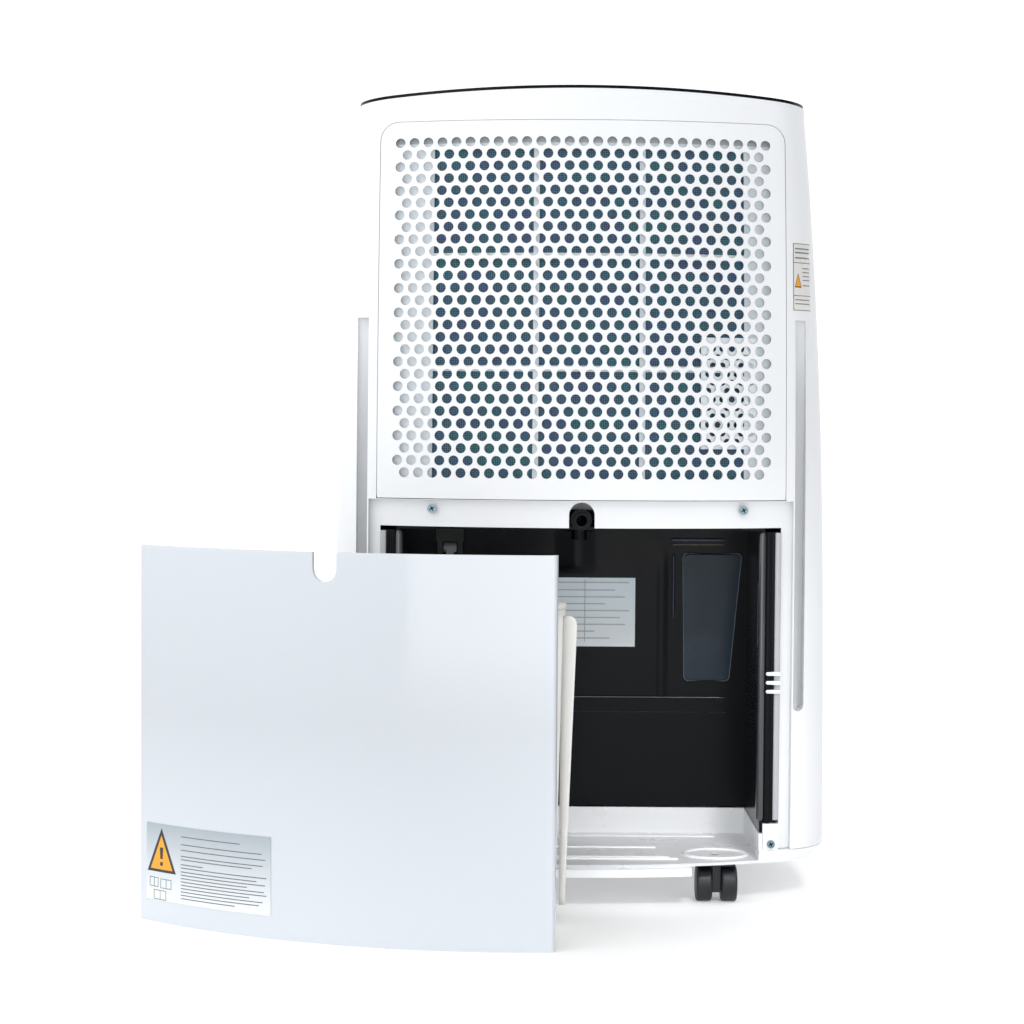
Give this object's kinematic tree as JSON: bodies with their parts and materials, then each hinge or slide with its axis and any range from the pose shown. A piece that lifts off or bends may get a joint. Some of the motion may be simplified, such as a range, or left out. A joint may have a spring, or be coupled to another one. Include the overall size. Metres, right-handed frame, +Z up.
{
  "type": "dehumidifier",
  "caption": "Free-standing compressor dehumidifier on castors with perforated rear grille, side grip scoops and a removable bow-fronted water tank.",
  "frame": {"origin": "on the floor, in the middle of the box round the cabinet and the tank standing beside it", "axes": "+Z up, the cabinet's rear face and tank bay towards -Y, +X to the right of someone facing the rear"},
  "size_m": [0.5116, 0.4187, 0.615],
  "materials": {
    "white_shell": "satin white moulding",
    "black_plastic": "gloss black moulding",
    "dark_plastic": "fine black texture",
    "filter": "woven mesh",
    "fins": "coated fins",
    "copper": "bright tube",
    "compressor_black": "black enamel",
    "rubber": "matte",
    "galvanised": "galvanised",
    "screw": "zinc plated",
    "grey_plastic": "matte",
    "board": "solder mask",
    "label": "printed film",
    "lens": "smoked",
    "tank_white": "high gloss",
    "tank_clear": "translucent",
    "foam": "foam"
  },
  "bodies": {
    "cabinet": {"rear_shell": "white_shell", "front_shell": "white_shell", "top_deck": "black_plastic", "display_lens": "lens", "outlet_louvre": "dark_plastic", "evaporator_fins": "fins", "evaporator_tubes": "copper", "condenser_fins": "fins", "condenser_tubes": "copper", "compressor": "compressor_black", "compressor_mounts": "rubber", "copper_lines": "copper", "fan_scroll": "dark_plastic", "fan_motor": "galvanised", "drip_tray": "white_shell", "drain_nozzle": "dark_plastic", "hose_spigot": "black_plastic", "bay_liner": "black_plastic", "bay_columns": "black_plastic", "base_pan": "white_shell", "tray_lip": "white_shell", "corner_blocks": "white_shell", "jamb_ribs": "white_shell", "rear_screws": "screw", "base_screws": "screw", "rating_plate": "label", "switch_box": "dark_plastic", "control_board": "board", "board_parts": "dark_plastic", "cord_gland": "dark_plastic"},
    "flap": {"outlet_flap": "black_plastic"},
    "fan": {"fan_wheel": "dark_plastic"},
    "switch_lever": {"tank_switch": "grey_plastic"},
    "grille": {"rear_grille": "white_shell", "filter_frame": "white_shell", "filter_mesh": "filter", "sensor_cover": "white_shell"},
    "tank": {"tank_panel": "tank_white", "tank_bucket": "tank_clear", "tank_bridge": "tank_clear", "float_bracket": "grey_plastic", "tank_sticker": "label"},
    "lid": {"tank_lid": "tank_clear"},
    "handle": {"tank_handle": "grey_plastic"},
    "float": {"tank_float": "foam"},
    "button_1": {"button_1": "grey_plastic"},
    "button_2": {"button_2": "grey_plastic"},
    "button_3": {"button_3": "grey_plastic"},
    "button_4": {"button_4": "grey_plastic"},
    "fork_rear_left": {"castor_fork_rear_left": "dark_plastic"},
    "wheels_rear_left": {"castor_wheels_rear_left": "dark_plastic"},
    "fork_rear_right": {"castor_fork_rear_right": "dark_plastic"},
    "wheels_rear_right": {"castor_wheels_rear_right": "dark_plastic"},
    "fork_front_left": {"castor_fork_front_left": "dark_plastic"},
    "wheels_front_left": {"castor_wheels_front_left": "dark_plastic"},
    "fork_front_right": {"castor_fork_front_right": "dark_plastic"},
    "wheels_front_right": {"castor_wheels_front_right": "dark_plastic"}
  },
  "joints": [
    {"name": "flap_open", "type": "hinge", "parent": "cabinet", "child": "flap", "pos_m": [0.06392, 0.14674, 0.6095], "axis": [-1, 0, 0], "range_deg": [0, 80]},
    {"name": "fan_spin", "type": "hinge", "parent": "cabinet", "child": "fan", "pos_m": [0.06892, 0.09424, 0.445], "axis": [0, 1, 0], "continuous": true},
    {"name": "switch_press", "type": "hinge", "parent": "cabinet", "child": "switch_lever", "pos_m": [-0.03708, 0.07224, 0.262], "axis": [1, 0, 0], "range_deg": [0, 8], "stiffness_Nm_per_rad": 0.05, "springref_deg": -11.46},
    {"name": "button_1_press", "type": "slide", "parent": "cabinet", "child": "button_1", "axis": [0, 0, -1], "range_m": [0, 0.001], "stiffness_N_per_m": 300, "springref_m": -0.001},
    {"name": "button_2_press", "type": "slide", "parent": "cabinet", "child": "button_2", "axis": [0, 0, -1], "range_m": [0, 0.001], "stiffness_N_per_m": 300, "springref_m": -0.001},
    {"name": "button_3_press", "type": "slide", "parent": "cabinet", "child": "button_3", "axis": [0, 0, -1], "range_m": [0, 0.001], "stiffness_N_per_m": 300, "springref_m": -0.001},
    {"name": "button_4_press", "type": "slide", "parent": "cabinet", "child": "button_4", "axis": [0, 0, -1], "range_m": [0, 0.001], "stiffness_N_per_m": 300, "springref_m": -0.001},
    {"name": "grille_pull", "type": "slide", "parent": "cabinet", "child": "grille", "axis": [0, -1, 0], "range_m": [0, 0.12]},
    {"name": "swivel_rear_left", "type": "hinge", "parent": "cabinet", "child": "fork_rear_left", "pos_m": [-0.04108, -0.01576, 0.03], "axis": [0, 0, 1], "continuous": true},
    {"name": "roll_rear_left", "type": "hinge", "parent": "fork_rear_left", "child": "wheels_rear_left", "pos_m": [-0.04108, -0.02576, 0.0135], "axis": [1, 0, 0], "continuous": true},
    {"name": "swivel_rear_right", "type": "hinge", "parent": "cabinet", "child": "fork_rear_right", "pos_m": [0.16892, -0.01576, 0.03], "axis": [0, 0, 1], "continuous": true},
    {"name": "roll_rear_right", "type": "hinge", "parent": "fork_rear_right", "child": "wheels_rear_right", "pos_m": [0.16892, -0.02576, 0.0135], "axis": [1, 0, 0], "continuous": true},
    {"name": "swivel_front_left", "type": "hinge", "parent": "cabinet", "child": "fork_front_left", "pos_m": [-0.04108, 0.16424, 0.03], "axis": [0, 0, 1], "continuous": true},
    {"name": "roll_front_left", "type": "hinge", "parent": "fork_front_left", "child": "wheels_front_left", "pos_m": [-0.04108, 0.15424, 0.0135], "axis": [1, 0, 0], "continuous": true},
    {"name": "swivel_front_right", "type": "hinge", "parent": "cabinet", "child": "fork_front_right", "pos_m": [0.16892, 0.16424, 0.03], "axis": [0, 0, 1], "continuous": true},
    {"name": "roll_front_right", "type": "hinge", "parent": "fork_front_right", "child": "wheels_front_right", "pos_m": [0.16892, 0.15424, 0.0135], "axis": [1, 0, 0], "continuous": true},
    {"name": "tank_draw", "type": "slide", "parent": "cabinet", "child": "tank", "axis": [-0.3256, -0.9455, 0], "range_m": [0, 0.25]},
    {"name": "lid_open", "type": "hinge", "parent": "tank", "child": "lid", "pos_m": [-0.10225, -0.14516, 0.23], "axis": [0.9455, -0.3256, 0], "range_deg": [0, 70]},
    {"name": "handle_raise", "type": "hinge", "parent": "lid", "child": "handle", "pos_m": [-0.08011, -0.08087, 0.2375], "axis": [-0.9455, 0.3256, 0], "range_deg": [0, 90]},
    {"name": "float_rise", "type": "hinge", "parent": "tank", "child": "float", "pos_m": [0.00041, -0.15724, 0.188], "axis": [0.9455, -0.3256, 0], "range_deg": [0, 12]}
  ]
}
